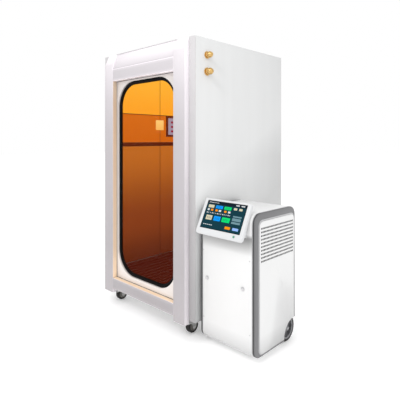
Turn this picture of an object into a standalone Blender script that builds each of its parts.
"""Portable steam sauna: a walk-in cabin on casters with its wheeled steam generator beside it.

Metres, floor at Z = 0. The front faces -Y and the generator stands on the +X side.
"""
import math

import bpy
from mathutils import Matrix, Vector

# Clearances
GAP = 0.0003  # between two fixed pieces that touch
RUN = 0.0005  # radially round a shaft and along it
SWING = 0.004  # round a leaf or lever that swings

# Cabin body
CABIN_W = 1.000
CABIN_D = 0.970
CABIN_TOP = 1.895
CABIN_BOTTOM = 0.115
WALL = 0.038
BASE_TOP = 0.200
DECK_TOP = 0.240
DECK_SLATS = 9
SLAT_GROOVE = 0.008
SLAT_GROOVE_DEPTH = 0.012

# Portal round the door
PORTAL_T = 0.038
POST_W = 0.106
OPENING_W = 0.677
OPENING_BOTTOM = 0.204
OPENING_TOP = 1.691
POST_BOTTOM = 0.093
POST_SHOULDER = 1.8135
BEAM_BOTTOM = 0.126
BEAM_TOP = 1.779

# Door leaf
LEAF_T = 0.030
LEAF_HEEL = 0.030  # from the leaf's hinge edge to its pivot line
LEAF_SIDE_GAP = 0.005
STILE_W = 0.012
TOP_RAIL = 0.010
BOTTOM_RAIL = 0.037
GASKET_W = 0.024
GASKET_R = 0.180
GASKET_T = 0.014
GASKET_INSET = 0.011
GLASS_T = 0.008
PIVOT_R = 0.005
PIVOT_REACH = 0.012
SEAL_W = 0.010
HANDLE_W = 0.008
HANDLE_REACH = 0.022
HANDLE_BAR = 0.008
HANDLE_H = 0.200
HANDLE_Z = 1.050

# Fittings inside the cabin
RAIL_BOTTOM = 1.194
RAIL_TOP = 1.225
RAIL_REACH = 0.025
PLATE_SIZE = 0.086
PLATE_T = 0.009
PLATE_BACK = 0.5265  # behind the cabin's front face
PLATE_Z = 1.3745
DISPLAY_W = 0.300
DISPLAY_H = 0.184
DISPLAY_T = 0.014
DISPLAY_BACK = 0.750
DISPLAY_Z = 1.365
LIGHT_R = 0.130
LIGHT_T = 0.018
DIFFUSER_W = 0.140
DIFFUSER_H = 0.090
DIFFUSER_T = 0.030
DIFFUSER_Z = 0.400

# Brass ports on the +X wall
PORT_BACK = 0.105
PORT_Z = {"upper": 1.7875, "lower": 1.682}
PORT_R = 0.026
PORT_SHANK_R = 0.019
PORT_SHANK_H = 0.020
PORT_NECK_R = 0.010
PORT_NECK_H = 0.034
PORT_SCALE = {"upper": 0.92, "lower": 1.0}

# Casters
CASTER_INSET_X = 0.110
CASTER_INSET_Y = 0.055
CASTER_R = 0.044
CASTER_WHEEL_W = 0.038
CASTER_TRAIL = 0.025
CASTER_AXLE_R = 0.005
CASTER_SLOT = CASTER_WHEEL_W / 2 + 2 * RUN  # half the space between the cheeks
FORK_W = 0.052
FORK_CROWN = 0.091
FORK_TOP = 0.106
FORK_REACH = 0.060
BEARING_R = 0.0175
PEDAL_PIVOT_Y = -0.025
PEDAL_PIVOT_Z = 0.079

# Generator
GEN_GAP = 0.015
GEN_W = 0.415
GEN_D = 0.420
GEN_BOTTOM = 0.035
GEN_TOP = 0.838
GEN_SETBACK = 0.030
GEN_R = 0.045
GEN_TOP_FRONT_R = 0.060
SHELL_T = 0.004
RIM_T = 0.022
RIM_W = 0.047  # along the front and the top
RIM_LOW = 0.012  # along the rear and the bottom
SIDE_T = 0.010
SIDE_INSET = 0.004
SIDE_R = 0.030
GRILLE_ROWS = 10
GRILLE_PITCH = 0.0205
GRILLE_SLOT = 0.007
GRILLE_DROP = 0.040
GRILLE_MARGIN = 0.020
WHEEL_R = 0.080
WHEEL_W = 0.032
WHEEL_BACK = 0.045  # axle ahead of the generator's rear face
WHEEL_CLEAR = 0.008
ARCH_R = 0.105
AXLE_R = 0.006
FOOT_R = 0.020
FOOT_X = 0.105  # to each side of the middle
FOOT_BACK = 0.115
CARRIER_X = 0.100
CARRIER_T = 0.006

# Screen on the generator
SCREEN_TILT = math.radians(27.0)
SCREEN_FORWARD = 0.0265  # glass centre ahead of the generator's front face
SCREEN_Z = 0.805
HOUSING_W = 0.345
HOUSING_UP = 0.0975
HOUSING_DOWN = 0.1225
HOUSING_T = 0.022
SCREEN_W = 0.300
SCREEN_H = 0.171
SCREEN_POCKET = 0.003
HINGE_V = -0.060
HINGE_N = -0.034
EAR_T = 0.010
EAR_R = 0.014
MOUNT_W = 0.298
PIN_R = 0.004
BUTTON_X = 0.115
BUTTON_V = -0.1025
BUTTON_R = 0.006
BUTTON_TRAVEL = 0.0015

# Inside the generator
BOILER_X = -0.070  # from the generator's middle
BOILER_BACK = 0.200
BOILER_R = 0.085
BOILER_NECK_R = 0.055
BOILER_TOP = 0.440
TANK_X = 0.030
TANK_W = 0.120
TANK_D = 0.200
TANK_TOP = 0.380
FAN_R = 0.085
FAN_T = 0.026
FAN_Z = 0.660
FAN_BLADES = 5
FAN_PITCH = math.radians(28.0)
FAN_BEHIND_RIM = 0.050
MOTOR_R = 0.020
MOTOR_L = 0.050
STRAP_W = 0.030
OUTLET_Z = 0.600
INLET_X = 0.050
INLET_Z = 0.220
INLET_SIZE = Vector((0.050, 0.012, 0.030))
INLET_WALL = 0.010

# Places that several pieces share
CABIN_X = -(GEN_GAP + GEN_W) / 2
SCREEN_REACH = SCREEN_FORWARD + HOUSING_DOWN * math.sin(SCREEN_TILT)
OVERHANG = max(0.0, SCREEN_REACH - GEN_SETBACK - PORTAL_T)  # of the screen past the portal
FRONT = PORTAL_T - (CABIN_D + PORTAL_T - OVERHANG) / 2
PORTAL_FRONT = FRONT - PORTAL_T
REAR = FRONT + CABIN_D
LEFT_IN = CABIN_X - CABIN_W / 2 + WALL
RIGHT_OUT = CABIN_X + CABIN_W / 2
RIGHT_IN = RIGHT_OUT - WALL
OPENING_LEFT = CABIN_X - OPENING_W / 2
OPENING_RIGHT = CABIN_X + OPENING_W / 2
LEAF_LEFT = OPENING_LEFT + LEAF_SIDE_GAP
LEAF_RIGHT = OPENING_RIGHT - LEAF_SIDE_GAP
LEAF_BOTTOM = OPENING_BOTTOM + SWING
LEAF_TOP = OPENING_TOP - SWING
DOOR_AXIS = Vector((LEAF_LEFT + LEAF_HEEL, FRONT + LEAF_T / 2, 0.0))
GEN_LEFT = RIGHT_OUT + GEN_GAP
GEN_RIGHT = GEN_LEFT + GEN_W
GEN_X = GEN_LEFT + GEN_W / 2
GEN_FRONT = FRONT + GEN_SETBACK
GEN_REAR = GEN_FRONT + GEN_D
GEN_FLOOR = GEN_BOTTOM + SHELL_T + GAP
WHEEL_Y = GEN_REAR - WHEEL_BACK
FAN_Y = GEN_FRONT + GEN_D / 2
SCREEN_AT = Vector((GEN_X, GEN_FRONT - SCREEN_FORWARD, SCREEN_Z))
SCREEN_UP = Vector((0.0, math.sin(SCREEN_TILT), math.cos(SCREEN_TILT)))
SCREEN_OUT = Vector((0.0, -math.cos(SCREEN_TILT), math.sin(SCREEN_TILT)))
HINGE = SCREEN_AT + SCREEN_UP * HINGE_V + SCREEN_OUT * HINGE_N

COLOURS = {
    "white": ((0.80, 0.79, 0.80), 0.35, 0.0),
    "cream": ((0.78, 0.76, 0.72), 0.45, 0.0),
    "black": ((0.015, 0.015, 0.017), 0.60, 0.0),
    "grey": ((0.25, 0.25, 0.27), 0.45, 0.0),
    "glass": ((0.90, 0.95, 0.95), 0.05, 0.0),
    "wood": ((0.20, 0.07, 0.04), 0.55, 0.0),
    "maroon": ((0.16, 0.03, 0.03), 0.45, 0.0),
    "brass": ((0.72, 0.49, 0.20), 0.28, 1.0),
    "steel": ((0.55, 0.56, 0.58), 0.35, 1.0),
    "tyre": ((0.05, 0.05, 0.055), 0.80, 0.0),
    "blue": ((0.05, 0.20, 0.35), 0.40, 0.0),
    "green": ((0.10, 0.60, 0.30), 0.40, 0.0),
    "lamp": ((0.95, 0.80, 0.55), 0.40, 0.0),
}


def clear_file():
    """Start from an empty file."""
    for item in list(bpy.data.objects):
        bpy.data.objects.remove(item)


def finish(obj, look):
    """Give a piece its own material in one of the object's colours."""
    colour, roughness, metallic = COLOURS[look]
    material = bpy.data.materials.new(obj.name)
    material.use_nodes = True
    shader = material.node_tree.nodes["Principled BSDF"]
    shader.inputs["Base Color"].default_value = (*colour, 1.0)
    shader.inputs["Roughness"].default_value = roughness
    shader.inputs["Metallic"].default_value = metallic
    obj.data.materials.clear()
    obj.data.materials.append(material)
    obj.data.shade_smooth()
    obj.data.set_sharp_from_angle(angle=math.radians(35))
    return obj


def pivot(obj, point):
    """Move a piece's origin to a point on its joint's axis."""
    point = Vector(point)
    obj.data.transform(Matrix.Translation(-point))
    obj.location = point
    return obj


def solid(name, points, faces):
    """A closed mesh object."""
    mesh = bpy.data.meshes.new(name)
    mesh.from_pydata([tuple(p) for p in points], [], faces)
    mesh.validate()
    obj = bpy.data.objects.new(name, mesh)
    bpy.context.scene.collection.objects.link(obj)
    return obj


def signed_area(outline):
    """Positive for an outline that runs anticlockwise."""
    total = 0.0
    for (a, b), (c, d) in zip(outline, outline[1:] + outline[:1]):
        total += a * d - b * c
    return total / 2


# Each plane: where (u, v, w) go, w being the direction of extrusion and u x v = w.
PLANES = {
    "xy": lambda u, v, w: (u, v, w),
    "yz": lambda u, v, w: (w, u, v),
    "zx": lambda u, v, w: (v, w, u),
}


def prism(name, plane, outline, low, high):
    """An outline in a plane, extruded from low to high along the plane's normal."""
    place = PLANES[plane]
    if signed_area(outline) < 0:
        outline = outline[::-1]
    n = len(outline)
    points = [place(u, v, low) for u, v in outline] + [place(u, v, high) for u, v in outline]
    faces = [list(range(n))[::-1], list(range(n, 2 * n))]
    faces += [[i, (i + 1) % n, n + (i + 1) % n, n + i] for i in range(n)]
    return solid(name, points, faces)


def ring(name, plane, outer, inner, low, high):
    """The band between two outlines of as many points, extruded from low to high."""
    place = PLANES[plane]
    n = len(outer)
    points = []
    for w in (low, high):
        points += [place(u, v, w) for u, v in outer]
        points += [place(u, v, w) for u, v in inner]
    faces = []
    for i in range(n):
        j = (i + 1) % n
        faces.append([i, j, 2 * n + j, 2 * n + i])
        faces.append([n + j, n + i, 3 * n + i, 3 * n + j])
        faces.append([j, i, n + i, n + j])
        faces.append([2 * n + i, 2 * n + j, 3 * n + j, 3 * n + i])
    return solid(name, points, faces)


def box(name, low, high):
    """A box between two corners."""
    outline = [(low[0], low[1]), (high[0], low[1]), (high[0], high[1]), (low[0], high[1])]
    return prism(name, "xy", outline, low[2], high[2])


def turned(name, profile, centre, axis, segments=24):
    """A profile of (radius, distance along the axis) turned about an axis through a centre.

    A profile that starts and ends at radius 0 is a solid; any other is closed on itself.
    """
    along = Vector(axis).normalized()
    first = Vector((0, 0, -1)) if abs(along.z) < 0.5 else Vector((0, -1, 0))
    second = along.cross(first)
    points = []
    rows = []
    for radius, height in profile:
        at = Vector(centre) + along * height
        if radius == 0:
            rows.append([len(points)] * segments)
            points.append(at)
            continue
        rows.append(list(range(len(points), len(points) + segments)))
        for i in range(segments):
            angle = 2 * math.pi * i / segments
            points.append(at + radius * (math.cos(angle) * first + math.sin(angle) * second))
    closed = profile[0][0] > 0
    pairs = list(zip(rows, rows[1:])) + ([(rows[-1], rows[0])] if closed else [])
    faces = []
    for a, b in pairs:
        for i in range(segments):
            j = (i + 1) % segments
            face = list(dict.fromkeys([a[i], a[j], b[j], b[i]]))
            faces.append(face)
    if signed_area([(height, radius) for radius, height in profile]) > 0:
        faces = [face[::-1] for face in faces]
    return solid(name, points, faces)


def rod(name, start, end, radius, segments=16):
    """A plain cylinder."""
    start = Vector(start)
    length = (Vector(end) - start).length
    profile = [(0, 0), (radius, 0), (radius, length), (0, length)]
    return turned(name, profile, start, Vector(end) - start, segments)


def combine(target, tools, operation):
    """Cut tools out of a target or join them to it, and remove them."""
    for tool in tools:
        step = target.modifiers.new("combine", "BOOLEAN")
        step.operation = operation
        step.solver = "EXACT"
        step.object = tool
    graph = bpy.context.evaluated_depsgraph_get()
    mesh = bpy.data.meshes.new_from_object(target.evaluated_get(graph))
    target.modifiers.clear()
    target.data = mesh
    for tool in tools:
        bpy.data.objects.remove(tool)
    return target


def cut(target, *tools):
    """Take tools out of a target."""
    return combine(target, tools, "DIFFERENCE")


def join(target, *tools):
    """Join tools to a target that they overlap."""
    return combine(target, tools, "UNION")


def rounded(left, bottom, right, top, radii, steps=6):
    """A rectangle with a radius for each corner, from bottom left anticlockwise."""
    centres = [
        (left + radii[0], bottom + radii[0]),
        (right - radii[1], bottom + radii[1]),
        (right - radii[2], top - radii[2]),
        (left + radii[3], top - radii[3]),
    ]
    outline = []
    for corner, ((u, v), radius) in enumerate(zip(centres, radii)):
        for step in range(steps + 1):
            angle = math.pi * (1 + corner / 2 + step / steps / 2)
            outline.append((u + radius * math.cos(angle), v + radius * math.sin(angle)))
    return outline


# ---------------------------------------------------------------- cabin body


def mitred_wall(name, ends, inner, turn):
    """One wall, mitred into its neighbours at both corners, from the bottom to the top."""
    half = [CABIN_W / 2, CABIN_D / 2]
    long_half, across = (half[0], half[1]) if inner == "y" else (half[1], half[0])
    outline = [
        (-long_half + GAP, across),
        (long_half - GAP, across),
        (long_half - WALL - GAP, across - WALL),
        (-long_half + WALL + GAP, across - WALL),
    ]
    centre = Vector((CABIN_X, FRONT + CABIN_D / 2))
    placed = []
    for u, v in outline:
        spun = Vector((u, v))
        spun.rotate(Matrix.Rotation(math.radians(turn), 2))
        placed.append(tuple(centre + spun))
    return prism(name, "xy", placed, ends[0], ends[1])


def side_walls():
    """The left, right and rear insulated walls."""
    ends = (CABIN_BOTTOM, CABIN_TOP)
    finish(mitred_wall("left_wall", ends, "x", 90), "cream")
    finish(mitred_wall("right_wall", ends, "x", -90), "cream")
    finish(mitred_wall("rear_wall", ends, "y", 0), "cream")


def front_wall():
    """The front wall with the door opening and the two pivot holes."""
    wall = mitred_wall("front_wall", (CABIN_BOTTOM, CABIN_TOP), "y", 180)
    opening = box(
        "opening",
        (OPENING_LEFT, FRONT - WALL, OPENING_BOTTOM),
        (OPENING_RIGHT, FRONT + 2 * WALL, OPENING_TOP),
    )
    reach = PIVOT_REACH + GAP
    hole = rod(
        "hole",
        DOOR_AXIS + Vector((0, 0, OPENING_BOTTOM - reach)),
        DOOR_AXIS + Vector((0, 0, OPENING_TOP + reach)),
        PIVOT_R + RUN,
    )
    finish(cut(wall, opening, hole), "cream")


def base_and_roof():
    """The floor pan, the slatted deck on it and the roof panel, all between the walls."""
    inset = WALL + GAP
    low = (CABIN_X - CABIN_W / 2 + inset, FRONT + inset)
    high = (CABIN_X + CABIN_W / 2 - inset, REAR - inset)
    finish(box("base_frame", (*low, CABIN_BOTTOM), (*high, BASE_TOP)), "white")
    finish(box("roof_panel", (*low, CABIN_TOP - WALL), (*high, CABIN_TOP)), "cream")
    pitch = (high[0] - low[0]) / DECK_SLATS
    outline = [(low[0], BASE_TOP + GAP), (high[0], BASE_TOP + GAP), (high[0], DECK_TOP)]
    for slat in range(DECK_SLATS - 1, 0, -1):
        seam = low[0] + slat * pitch
        for offset, z in ((1, DECK_TOP), (1, DECK_TOP - SLAT_GROOVE_DEPTH)):
            outline.append((seam + offset * SLAT_GROOVE / 2, z))
        for offset, z in ((-1, DECK_TOP - SLAT_GROOVE_DEPTH), (-1, DECK_TOP)):
            outline.append((seam + offset * SLAT_GROOVE / 2, z))
    outline.append((low[0], DECK_TOP))
    heel_sweep = FRONT + LEAF_T / 2 + math.hypot(LEAF_HEEL, LEAF_T / 2)
    deck_front = heel_sweep + SWING
    deck = prism("floor_deck", "zx", [(z, x) for x, z in outline], deck_front, high[1])
    finish(deck, "wood")


def portal():
    """Two posts with sloped tops, the beams between them and the cornice above."""
    back = FRONT - GAP
    post = [(PORTAL_FRONT, POST_BOTTOM), (back, POST_BOTTOM), (back, CABIN_TOP)]
    post.append((PORTAL_FRONT, POST_SHOULDER))
    spans = {
        "left_post": (OPENING_LEFT - POST_W, OPENING_LEFT),
        "right_post": (OPENING_RIGHT, OPENING_RIGHT + POST_W),
    }
    for name, (low, high) in spans.items():
        finish(prism(name, "yz", post, low, high), "white")
    low = OPENING_LEFT + GAP
    high = OPENING_RIGHT - GAP
    bottom = box("bottom_beam", (low, PORTAL_FRONT, BEAM_BOTTOM), (high, back, OPENING_BOTTOM))
    finish(bottom, "white")
    top = box("top_beam", (low, PORTAL_FRONT, OPENING_TOP), (high, back, BEAM_TOP))
    finish(top, "white")
    edge = PORTAL_FRONT + SWING
    slope = [(edge, BEAM_TOP + GAP), (back, BEAM_TOP + GAP), (back, CABIN_TOP)]
    slope.append((edge, BEAM_TOP + 2 * SWING))
    finish(prism("cornice", "yz", slope, low, high), "white")


# ---------------------------------------------------------------- door


def gasket_outline(inset):
    """The rounded outline at a distance inside the gasket's outer edge, as (z, x)."""
    radius = GASKET_R - inset
    outline = rounded(
        LEAF_LEFT + STILE_W + inset,
        LEAF_BOTTOM + BOTTOM_RAIL + inset,
        LEAF_RIGHT - STILE_W - inset,
        LEAF_TOP - TOP_RAIL - inset,
        [radius] * 4,
        10,
    )
    return [(z, x) for x, z in outline][::-1]


def door_frame():
    """The white leaf round the gasket, with a pivot hole at top and bottom."""
    leaf = box("door_frame", (LEAF_LEFT, FRONT, LEAF_BOTTOM), (LEAF_RIGHT, FRONT + LEAF_T, LEAF_TOP))
    window = prism("window", "zx", gasket_outline(0), FRONT - WALL, FRONT + 2 * WALL)
    holes = []
    for z, way in ((LEAF_BOTTOM, -1), (LEAF_TOP, 1)):
        inner = DOOR_AXIS + Vector((0, 0, z - way * (PIVOT_REACH + GAP)))
        outer = DOOR_AXIS + Vector((0, 0, z + way * WALL))
        holes.append(rod("hole", inner, outer, PIVOT_R + RUN))
    finish(pivot(cut(leaf, window, *holes), DOOR_AXIS), "white")


def door_gasket_and_glass():
    """The black gasket set back in the leaf, and the clear pane inside it."""
    front = FRONT + GASKET_INSET
    outer = gasket_outline(GAP)
    inner = gasket_outline(GASKET_W)
    gasket = ring("door_gasket", "zx", outer, inner, front, front + GASKET_T)
    finish(pivot(gasket, DOOR_AXIS), "black")
    face = front + (GASKET_T - GLASS_T) / 2
    glass = prism("door_glass", "zx", gasket_outline(GASKET_W + GAP), face, face + GLASS_T)
    finish(pivot(glass, DOOR_AXIS), "glass")


def door_pivots():
    """The pins that the leaf turns on."""
    for name, edge, way in (("door_pivot_lower", LEAF_BOTTOM, -1), ("door_pivot_upper", LEAF_TOP, 1)):
        inner = DOOR_AXIS + Vector((0, 0, edge - way * PIVOT_REACH))
        outer = DOOR_AXIS + Vector((0, 0, edge + way * (SWING + PIVOT_REACH)))
        finish(pivot(rod(name, inner, outer, PIVOT_R), DOOR_AXIS), "steel")


def door_handle():
    """A slim pull along the leaf's free edge."""
    low = HANDLE_Z - HANDLE_H / 2
    high = HANDLE_Z + HANDLE_H / 2
    face = FRONT - GAP
    tip = face - HANDLE_REACH
    grip = tip + HANDLE_BAR
    outline = [(face, low), (tip, low + HANDLE_BAR), (tip, high - HANDLE_BAR), (face, high)]
    outline += [(face, high - 3 * HANDLE_BAR), (grip, high - 3 * HANDLE_BAR)]
    outline += [(grip, low + 3 * HANDLE_BAR), (face, low + 3 * HANDLE_BAR)]
    edge = LEAF_RIGHT - GAP
    handle = prism("door_handle", "yz", outline, edge - HANDLE_W, edge)
    finish(pivot(handle, DOOR_AXIS), "steel")


def door_seal():
    """The rubber strip behind the leaf along its top, bottom and free edge."""
    near = FRONT + LEAF_T + RUN
    far = FRONT + WALL - GAP
    start = DOOR_AXIS.x + LEAF_HEEL + SEAL_W
    right = OPENING_RIGHT - GAP
    top = OPENING_TOP - GAP
    bottom = OPENING_BOTTOM + GAP
    outline = [(start, bottom), (right, bottom), (right, top), (start, top), (start, top - SEAL_W)]
    outline += [(right - SEAL_W, top - SEAL_W), (right - SEAL_W, bottom + SEAL_W)]
    outline.append((start, bottom + SEAL_W))
    finish(prism("door_seal", "zx", [(z, x) for x, z in outline], near, far), "black")


# ---------------------------------------------------------------- inside and ports


def wall_fittings():
    """The hand rail, the switch plate and the display on the left wall."""
    face = LEFT_IN + GAP
    rail_front = FRONT + WALL + 2 * SWING
    rail_rear = REAR - WALL - SWING
    rail = box(
        "wall_rail", (face, rail_front, RAIL_BOTTOM), (face + RAIL_REACH, rail_rear, RAIL_TOP)
    )
    finish(rail, "maroon")
    for name, back, z, width, height, depth, look in (
        ("wall_plate", PLATE_BACK, PLATE_Z, PLATE_SIZE, PLATE_SIZE, PLATE_T, "cream"),
        ("wall_display", DISPLAY_BACK, DISPLAY_Z, DISPLAY_W, DISPLAY_H, DISPLAY_T, "maroon"),
    ):
        y = FRONT + back
        low = (face, y - width / 2, z - height / 2)
        high = (face + depth, y + width / 2, z + height / 2)
        finish(box(name, low, high), look)


def ceiling_light():
    """A round light under the roof."""
    top = CABIN_TOP - WALL - GAP
    profile = [(0, -LIGHT_T), (0.8 * LIGHT_R, -LIGHT_T), (LIGHT_R, -0.4 * LIGHT_T)]
    profile += [(LIGHT_R, 0), (0, 0)]
    centre = (CABIN_X, FRONT + CABIN_D / 2, top)
    finish(turned("ceiling_light", profile, centre, (0, 0, 1), 32), "lamp")


def steam_diffuser():
    """The cover over the steam inlet, low on the right wall."""
    face = RIGHT_IN - GAP
    y = FRONT + CABIN_D / 2
    half = DIFFUSER_W / 2
    outline = [(face, -half), (face, half), (face - DIFFUSER_T, half - DIFFUSER_T)]
    outline.append((face - DIFFUSER_T, DIFFUSER_T - half))
    placed = [(x, y + offset) for x, offset in outline]
    cover = prism("steam_diffuser", "xy", placed, DIFFUSER_Z, DIFFUSER_Z + DIFFUSER_H)
    finish(cover, "wood")


def port(level):
    """A brass port on the +X wall and its screw cap."""
    scale = PORT_SCALE[level]
    centre = Vector((RIGHT_OUT + GAP, FRONT + PORT_BACK, PORT_Z[level]))
    profile = [(0, 0), (PORT_R, 0), (PORT_R, 0.005), (PORT_SHANK_R, 0.007)]
    profile += [(PORT_SHANK_R, PORT_SHANK_H), (PORT_NECK_R, PORT_SHANK_H)]
    profile += [(PORT_NECK_R, PORT_NECK_H), (0, PORT_NECK_H)]
    sized = [(r * scale, h * scale) for r, h in profile]
    finish(turned(level + "_port", sized, centre, (1, 0, 0)), "brass")
    bore = PORT_NECK_R * scale + RUN
    skirt = PORT_SHANK_H * scale + RUN
    ceiling = PORT_NECK_H * scale + 3 * RUN
    outside = [(0.0215, 0.036), (0.0185, 0.044), (0.011, 0.049), (0, 0.050)]
    cap = [(0, ceiling), (bore, ceiling), (bore, skirt), (outside[0][0] * scale, skirt)]
    cap += [(r * scale, h * scale) for r, h in outside]
    cover = turned(level + "_port_cap", cap, centre, (1, 0, 0))
    finish(pivot(cover, centre), "brass")


# ---------------------------------------------------------------- casters


def caster_fork(name, stem):
    """Cheeks, crown, bearing disc and axle of one swivel caster."""
    side = [(-0.032, 0.071), (-0.032, 0.086), (-0.020, FORK_TOP), (0.030, FORK_TOP), (0.041, 0.085)]
    side += [(0.037, 0.034), (0.025, 0.028), (0.013, 0.034), (0.008, 0.060), (-0.010, 0.071)]
    placed = [(stem.y + y, z) for y, z in side]
    half = FORK_W / 2
    fork = prism(name, "yz", placed, stem.x - half, stem.x + half)
    near = (stem.x - CASTER_SLOT, stem.y - FORK_REACH, 0)
    far = (stem.x + CASTER_SLOT, stem.y + FORK_REACH, FORK_CROWN)
    nose = (stem.x + CASTER_SLOT, stem.y - BEARING_R, CABIN_BOTTOM)
    cut(fork, box("slot", near, far), box("slot", near, nose))
    top = CABIN_BOTTOM - GAP
    disc = rod("disc", (stem.x, stem.y, FORK_TOP - GAP), (stem.x, stem.y, top), BEARING_R, 20)
    y = stem.y + CASTER_TRAIL
    ends = [(stem.x - half + 0.001, y, CASTER_R), (stem.x + half - 0.001, y, CASTER_R)]
    axle = rod("axle", ends[0], ends[1], CASTER_AXLE_R, 12)
    finish(pivot(join(fork, disc, axle), stem), "steel")


def caster_wheel(name, stem):
    """A tread on a dished hub."""
    half = CASTER_WHEEL_W / 2
    bore = CASTER_AXLE_R + RUN
    hub = 0.30 * CASTER_R
    dish = 0.40 * CASTER_R
    seat = 0.78 * CASTER_R
    shoulder = 0.88 * CASTER_R
    profile = [(bore, -half), (hub, -half), (dish, -0.8 * half), (seat, -0.8 * half)]
    profile += [(shoulder, -0.95 * half), (CASTER_R, -0.65 * half), (CASTER_R, 0.65 * half)]
    profile += [(shoulder, 0.95 * half), (seat, 0.8 * half), (dish, 0.8 * half)]
    profile += [(hub, half), (bore, half)]
    centre = Vector((stem.x, stem.y + CASTER_TRAIL, CASTER_R))
    finish(pivot(turned(name, profile, centre, (1, 0, 0), 20), centre), "grey")


def caster_pedal(name, stem):
    """The foot brake on the fork's nose."""
    outline = []
    for step in range(7):
        angle = math.radians(-90 + 30 * step)
        outline.append((0.005 * math.cos(angle), 0.005 * math.sin(angle)))
    outline += [(-0.030, 0.0075), (-0.034, 0.005), (-0.034, 0.001), (-0.030, -0.0005)]
    placed = [(stem.y + PEDAL_PIVOT_Y + y, PEDAL_PIVOT_Z + z) for y, z in outline]
    half = CASTER_SLOT - RUN
    pedal = prism(name, "yz", placed, stem.x - half, stem.x + half)
    axis = (stem.x, stem.y + PEDAL_PIVOT_Y, PEDAL_PIVOT_Z)
    finish(pivot(pedal, axis), "grey")


def casters():
    """A caster near each corner of the cabin."""
    ends_x = {
        "left": CABIN_X - CABIN_W / 2 + CASTER_INSET_X,
        "right": CABIN_X + CABIN_W / 2 - CASTER_INSET_X,
    }
    ends_y = {"front": FRONT + CASTER_INSET_Y, "rear": REAR - CASTER_INSET_Y - CASTER_TRAIL}
    for row, y in ends_y.items():
        for side, x in ends_x.items():
            stem = Vector((x, y, 0))
            corner = row + "_" + side
            caster_fork(corner + "_fork", stem)
            caster_wheel(corner + "_wheel", stem)
            caster_pedal(corner + "_pedal", stem)


# ---------------------------------------------------------------- generator


def generator_outline(inset):
    """The generator's side outline, (y, z), at a distance inside its outer surface."""
    radii = [GEN_R - inset] * 3 + [GEN_TOP_FRONT_R - inset]
    return rounded(
        GEN_FRONT + inset, GEN_BOTTOM + inset, GEN_REAR - inset, GEN_TOP - inset, radii
    )


def panel_outline(inset):
    """The side panel's outline, (y, z), at a distance inside the rim's inner edge."""
    near = RIM_W + inset
    far = RIM_LOW + inset
    return rounded(
        GEN_FRONT + near, GEN_BOTTOM + far, GEN_REAR - far, GEN_TOP - near, [SIDE_R - inset] * 4
    )


def generator_shell():
    """Front, top, rear and bottom in one bent sheet, with a well for each wheel."""
    low = GEN_LEFT + RIM_T + GAP
    high = GEN_RIGHT - RIM_T - GAP
    outer = generator_outline(0)
    shell = ring("generator_shell", "yz", outer, generator_outline(SHELL_T), low, high)
    depth = 2 * WHEEL_CLEAR + WHEEL_W
    wells = []
    for start, end in ((low - RIM_T, low + depth), (high - depth, high + RIM_T)):
        radius = WHEEL_R + WHEEL_CLEAR
        wells.append(rod("well", (start, WHEEL_Y, WHEEL_R), (end, WHEEL_Y, WHEEL_R), radius, 32))
    finish(pivot(cut(shell, *wells), (GEN_X, GEN_FRONT, 0)), "white")


def arch(low, high):
    """The round cut in the lower rear corner that shows the wheel."""
    y = GEN_REAR - 0.020
    z = GEN_BOTTOM + 0.010
    return rod("arch", (low, y, z), (high, y, z), ARCH_R, 32)


def generator_rims():
    """The grey band round each side."""
    for name, low in (("left", GEN_LEFT), ("right", GEN_RIGHT - RIM_T)):
        outer = generator_outline(0)
        band = ring("generator_rim_" + name, "yz", outer, panel_outline(0), low, low + RIM_T)
        cut(band, arch(low - WALL, low + WALL + RIM_T))
        finish(pivot(band, (GEN_X, GEN_FRONT, 0)), "grey")


def generator_sides():
    """The white panel inside each rim, with its rows of air slots."""
    top = GEN_TOP - RIM_W - GRILLE_DROP
    for name, low in (
        ("left", GEN_LEFT + SIDE_INSET),
        ("right", GEN_RIGHT - SIDE_INSET - SIDE_T),
    ):
        panel = prism("generator_side_" + name, "yz", panel_outline(GAP), low, low + SIDE_T)
        tools = [arch(low - WALL, low + WALL)]
        for row in range(GRILLE_ROWS):
            z = top - row * GRILLE_PITCH
            near = (low - WALL, GEN_FRONT + RIM_W + GRILLE_MARGIN, z - GRILLE_SLOT / 2)
            far = (low + WALL, GEN_REAR - RIM_LOW - GRILLE_MARGIN, z + GRILLE_SLOT / 2)
            tools.append(box("slot", near, far))
        finish(pivot(cut(panel, *tools), (GEN_X, GEN_FRONT, 0)), "white")


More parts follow.
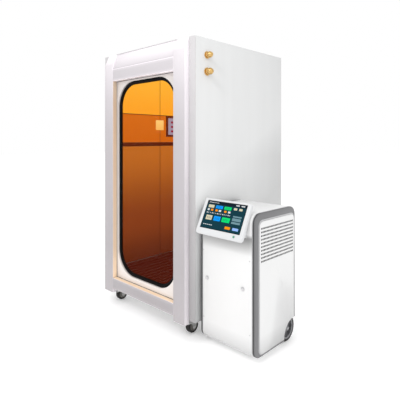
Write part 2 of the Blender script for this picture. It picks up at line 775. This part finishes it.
def generator_running_gear():
    """Two large rear wheels on one axle, and two front feet."""
    reach = GEN_W / 2 - RIM_T - 2 * GAP
    ends = [(GEN_X - reach, WHEEL_Y, WHEEL_R), (GEN_X + reach, WHEEL_Y, WHEEL_R)]
    axle = rod("axle_carrier", ends[0], ends[1], AXLE_R)
    plates = []
    for x in (GEN_X - CARRIER_X, GEN_X + CARRIER_X):
        low = (x - CARRIER_T / 2, WHEEL_Y - 5 * AXLE_R, GEN_FLOOR)
        high = (x + CARRIER_T / 2, WHEEL_Y, WHEEL_R + 3 * AXLE_R)
        plates.append(box("plate", low, high))
    finish(pivot(join(axle, *plates), (GEN_X, GEN_FRONT, 0)), "steel")
    half = WHEEL_W / 2
    bore = AXLE_R + RUN
    sides = [(0.25, 1.0), (0.32, 0.6), (0.70, 0.6), (0.78, 1.0), (0.90, 1.0), (1.0, 0.6)]
    profile = [(bore, -half)] + [(r * WHEEL_R, -w * half) for r, w in sides]
    profile += [(r * WHEEL_R, w * half) for r, w in reversed(sides)] + [(bore, half)]
    offset = GEN_W / 2 - RIM_T - 2 * GAP - WHEEL_CLEAR / 2 - half
    for name, x in (("left", GEN_X - offset), ("right", GEN_X + offset)):
        centre = (x, WHEEL_Y, WHEEL_R)
        wheel = turned("generator_wheel_" + name, profile, centre, (1, 0, 0), 32)
        finish(pivot(wheel, centre), "tyre")
    for name, x in (("left", GEN_X - FOOT_X), ("right", GEN_X + FOOT_X)):
        low = Vector((x, GEN_FRONT + FOOT_BACK, 0))
        foot = rod("foot_" + name, low, low + Vector((0, 0, GEN_BOTTOM - GAP)), FOOT_R)
        finish(pivot(foot, (GEN_X, GEN_FRONT, 0)), "tyre")


def generator_inside():
    """Boiler, water tank and fan with its motor."""
    origin = (GEN_X, GEN_FRONT, 0)
    centre = (GEN_X + BOILER_X, GEN_FRONT + BOILER_BACK, 0)
    neck = BOILER_NECK_R
    profile = [(0, GEN_FLOOR), (neck, GEN_FLOOR), (neck, 0.095), (BOILER_R, 0.125)]
    profile += [(BOILER_R, BOILER_TOP - 0.035), (neck, BOILER_TOP - 0.008), (0, BOILER_TOP)]
    finish(pivot(turned("boiler", profile, centre, (0, 0, 1), 28), origin), "steel")
    near = GEN_FRONT + GEN_R
    left = GEN_X + TANK_X
    tank = rounded(left, near, left + TANK_W, near + TANK_D, [0.012] * 4, 3)
    finish(pivot(prism("water_tank", "xy", tank, GEN_FLOOR, TANK_TOP), origin), "blue")
    hub = Vector((GEN_RIGHT - RIM_T - FAN_BEHIND_RIM, FAN_Y, FAN_Z))
    rotor = rod("fan_rotor", hub, hub + Vector((FAN_T, 0, 0)), MOTOR_R + 2 * RUN, 18)
    blades = []
    for blade in range(FAN_BLADES):
        piece = box("blade", (-0.003, -0.016, MOTOR_R / 2), (0.003, 0.016, FAN_R))
        turn = Matrix.Rotation(FAN_PITCH, 4, "Z")
        spin = Matrix.Rotation(2 * math.pi * blade / FAN_BLADES, 4, "X")
        middle = Matrix.Translation(hub + Vector((FAN_T / 2, 0, 0)))
        piece.data.transform(middle @ spin @ turn)
        blades.append(piece)
    finish(pivot(join(rotor, *blades), hub), "black")
    back = hub - Vector((MOTOR_L, 0, 0))
    motor = rod("fan_motor", back, hub - Vector((SWING / 2, 0, 0)), MOTOR_R, 18)
    low = (back.x + MOTOR_R / 2, hub.y - STRAP_W / 2, hub.z)
    high = (back.x + 0.8 * MOTOR_R, hub.y + STRAP_W / 2, GEN_TOP - SHELL_T - GAP)
    finish(pivot(join(motor, box("strap", low, high)), origin), "steel")


def generator_ports():
    """The steam outlet and the mains inlet on the generator's rear face."""
    origin = (GEN_X, GEN_FRONT, 0)
    profile = [(0.007, 0), (0.024, 0), (0.024, 0.005), (0.014, 0.007), (0.014, 0.035)]
    profile.append((0.007, 0.035))
    centre = (GEN_X + BOILER_X, GEN_REAR + GAP, OUTLET_Z)
    finish(pivot(turned("steam_outlet", profile, centre, (0, 1, 0), 20), origin), "brass")
    low = Vector((GEN_X + INLET_X, GEN_REAR + GAP, INLET_Z))
    high = low + INLET_SIZE
    inlet = box("mains_inlet", low, high)
    wall = Vector((INLET_WALL, INLET_SIZE.y / 4, 0.6 * INLET_WALL))
    mouth = (high.x - wall.x, high.y + wall.y, high.z - wall.z)
    finish(pivot(cut(inlet, box("pocket", low + wall, mouth)), origin), "black")


# ---------------------------------------------------------------- screen


def screen_space(obj):
    """Stand a piece drawn as (across, up the screen, out of it) on the generator."""
    frame = Matrix((
        (1.0, SCREEN_UP.x, SCREEN_OUT.x, SCREEN_AT.x),
        (0.0, SCREEN_UP.y, SCREEN_OUT.y, SCREEN_AT.y),
        (0.0, SCREEN_UP.z, SCREEN_OUT.z, SCREEN_AT.z),
        (0.0, 0.0, 0.0, 1.0),
    ))
    obj.data.transform(frame)
    return obj


def ear(low, high):
    """One rounded lug on the housing's back, round the hinge line, drawn (v, n)."""
    outline = [(HINGE_V + EAR_R, -HOUSING_T / 2), (HINGE_V - EAR_R, -HOUSING_T / 2)]
    for step in range(9):
        angle = math.pi * (1 + step / 8)
        outline.append((HINGE_V + EAR_R * math.cos(angle), HINGE_N + EAR_R * math.sin(angle)))
    return prism("ear", "yz", outline, low, high)


def screen_housing():
    """The white screen case with its pocket, button hole and hinge lugs."""
    outline = rounded(
        -HOUSING_W / 2, -HOUSING_DOWN, HOUSING_W / 2, HOUSING_UP, [0.020, 0.020, 0.010, 0.010], 4
    )
    case = prism("screen_housing", "xy", outline, -HOUSING_T, 0)
    inner = MOUNT_W / 2 + RUN
    join(case, ear(inner, inner + EAR_T), ear(-inner - EAR_T, -inner))
    half_w = SCREEN_W / 2 + GAP
    half_h = SCREEN_H / 2 + GAP
    pocket = box("pocket", (-half_w, -half_h, -SCREEN_POCKET), (half_w, half_h, HOUSING_T))
    depth = BUTTON_R + BUTTON_TRAVEL
    well = rod("well", (BUTTON_X, BUTTON_V, -depth), (BUTTON_X, BUTTON_V, WALL), BUTTON_R + RUN)
    reach = HOUSING_W / 2
    bore = rod("bore", (-reach, HINGE_V, HINGE_N), (reach, HINGE_V, HINGE_N), PIN_R + RUN)
    cut(case, pocket, well, bore)
    finish(pivot(screen_space(case), HINGE), "white")


def screen_glass():
    """The touch glass, flush with its case."""
    low = (-SCREEN_W / 2, -SCREEN_H / 2, GAP - SCREEN_POCKET)
    glass = box("screen_glass", low, (SCREEN_W / 2, SCREEN_H / 2, 0))
    finish(pivot(screen_space(glass), HINGE), "black")


def power_button():
    """The round button in the case's lower edge."""
    start = (BUTTON_X, BUTTON_V, GAP - BUTTON_R)
    button = rod("power_button", start, (BUTTON_X, BUTTON_V, 2 * BUTTON_TRAVEL), BUTTON_R)
    axis = SCREEN_AT + Vector((BUTTON_X, 0, 0)) + SCREEN_UP * BUTTON_V
    finish(pivot(screen_space(button), axis), "green")


def screen_mount():
    """The wedge on the generator's front that carries the screen's hinge pins."""
    face = GEN_FRONT - GAP
    outline = [(face, HINGE.z - 0.036), (face, HINGE.z + 0.034), (HINGE.y, HINGE.z + 0.009)]
    outline += [(HINGE.y - 0.008, HINGE.z), (HINGE.y, HINGE.z - 0.009)]
    half = MOUNT_W / 2
    wedge = prism("screen_mount", "yz", outline, GEN_X - half, GEN_X + half)
    pins = []
    for way in (-1, 1):
        start = (GEN_X + way * (half - EAR_T), HINGE.y, HINGE.z)
        pins.append(rod("pin", start, (GEN_X + way * (half + EAR_T), HINGE.y, HINGE.z), PIN_R, 12))
    finish(pivot(join(wedge, *pins), (GEN_X, GEN_FRONT, 0)), "white")


def build():
    """The whole sauna."""
    clear_file()
    side_walls()
    front_wall()
    base_and_roof()
    portal()
    door_frame()
    door_gasket_and_glass()
    door_pivots()
    door_handle()
    door_seal()
    wall_fittings()
    ceiling_light()
    steam_diffuser()
    port("upper")
    port("lower")
    casters()
    generator_shell()
    generator_rims()
    generator_sides()
    generator_running_gear()
    generator_inside()
    generator_ports()
    screen_housing()
    screen_glass()
    power_button()
    screen_mount()


build()
